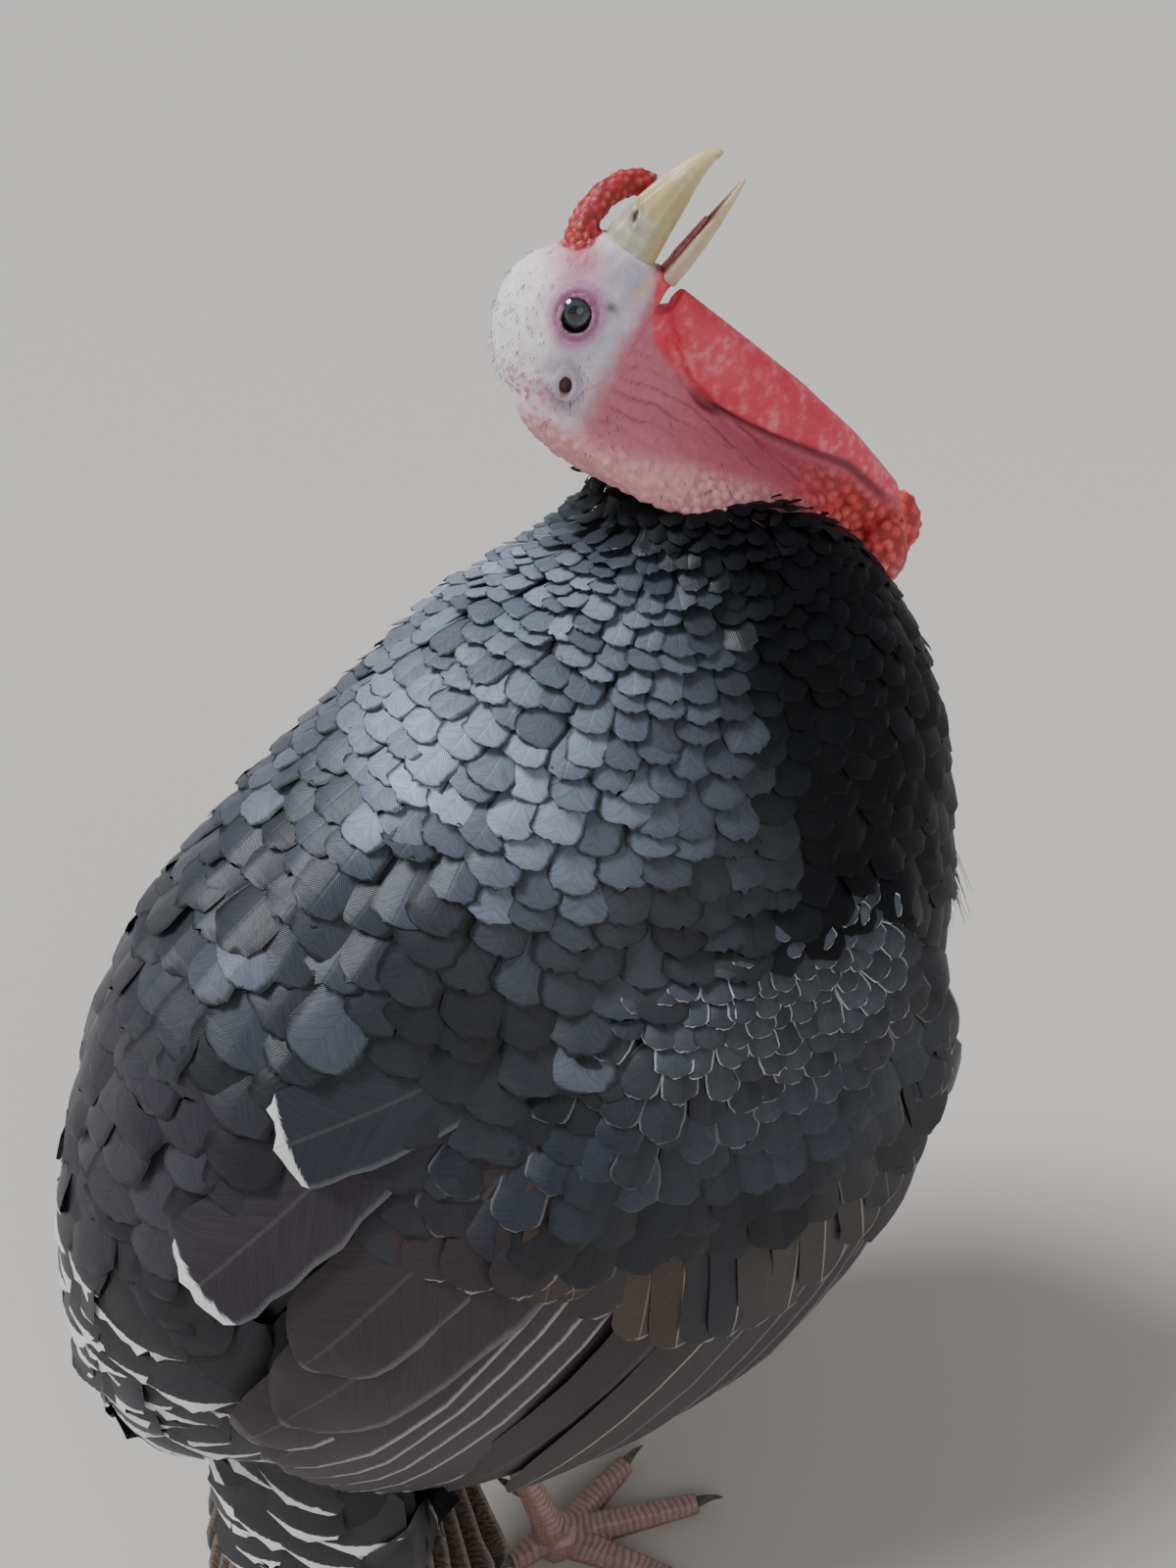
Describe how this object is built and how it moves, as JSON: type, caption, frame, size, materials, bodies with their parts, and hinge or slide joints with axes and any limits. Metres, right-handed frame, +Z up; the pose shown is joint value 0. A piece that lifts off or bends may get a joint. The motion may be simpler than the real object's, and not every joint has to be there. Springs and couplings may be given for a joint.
{
  "type": "domestic turkey",
  "caption": "Life-size black-plumaged domestic tom turkey, standing with folded wings, neck drawn back and bill raised, tail lowered to one side.",
  "frame": {"origin": "middle of the bird's footprint, at the level of its soles", "axes": "+X forward, out of the breast; +Y to the bird's left; +Z up, along its longest extent"},
  "size_m": [0.5372, 0.333, 0.8537],
  "materials": {
    "plumage_black": "satin",
    "plumage_coverts": "satin",
    "plumage_brown": "matte",
    "plumage_tail": "matte",
    "bare_skin": "satin",
    "red_skin": "satin",
    "bill_horn": "satin",
    "tongue_flesh": "satin",
    "eye_dark": "gloss",
    "beard_bristle": "matte",
    "leg_scale": "matte",
    "claw_horn": "satin"
  },
  "bodies": {
    "root": {"beard": "beard_bristle", "bill_lower": "bill_horn", "bill_upper": "bill_horn", "breast": "plumage_black", "caruncle_left": "red_skin", "caruncle_right": "red_skin", "claw_back_left": "claw_horn", "claw_back_right": "claw_horn", "claw_inner_left": "claw_horn", "claw_inner_right": "claw_horn", "claw_middle_left": "claw_horn", "claw_middle_right": "claw_horn", "claw_outer_left": "claw_horn", "claw_outer_right": "claw_horn", "dewlap": "red_skin", "ear_left": "bare_skin", "ear_right": "bare_skin", "eye_left": "eye_dark", "eye_right": "eye_dark", "foot_left": "leg_scale", "foot_right": "leg_scale", "head": "bare_skin", "neck_bare": "bare_skin", "neck_feathered": "plumage_black", "rump": "plumage_black", "shank_left": "leg_scale", "shank_right": "leg_scale", "snood": "red_skin", "spur_left": "claw_horn", "spur_right": "claw_horn", "tail": "plumage_tail", "tail_coverts": "plumage_coverts", "thigh_left": "plumage_black", "thigh_right": "plumage_black", "tongue": "tongue_flesh", "trunk": "plumage_black", "wing_coverts_left": "plumage_coverts", "wing_coverts_right": "plumage_coverts", "wing_primaries_left": "plumage_brown", "wing_primaries_right": "plumage_brown", "wing_secondaries_left": "plumage_brown", "wing_secondaries_right": "plumage_brown"}
  },
  "joints": []
}
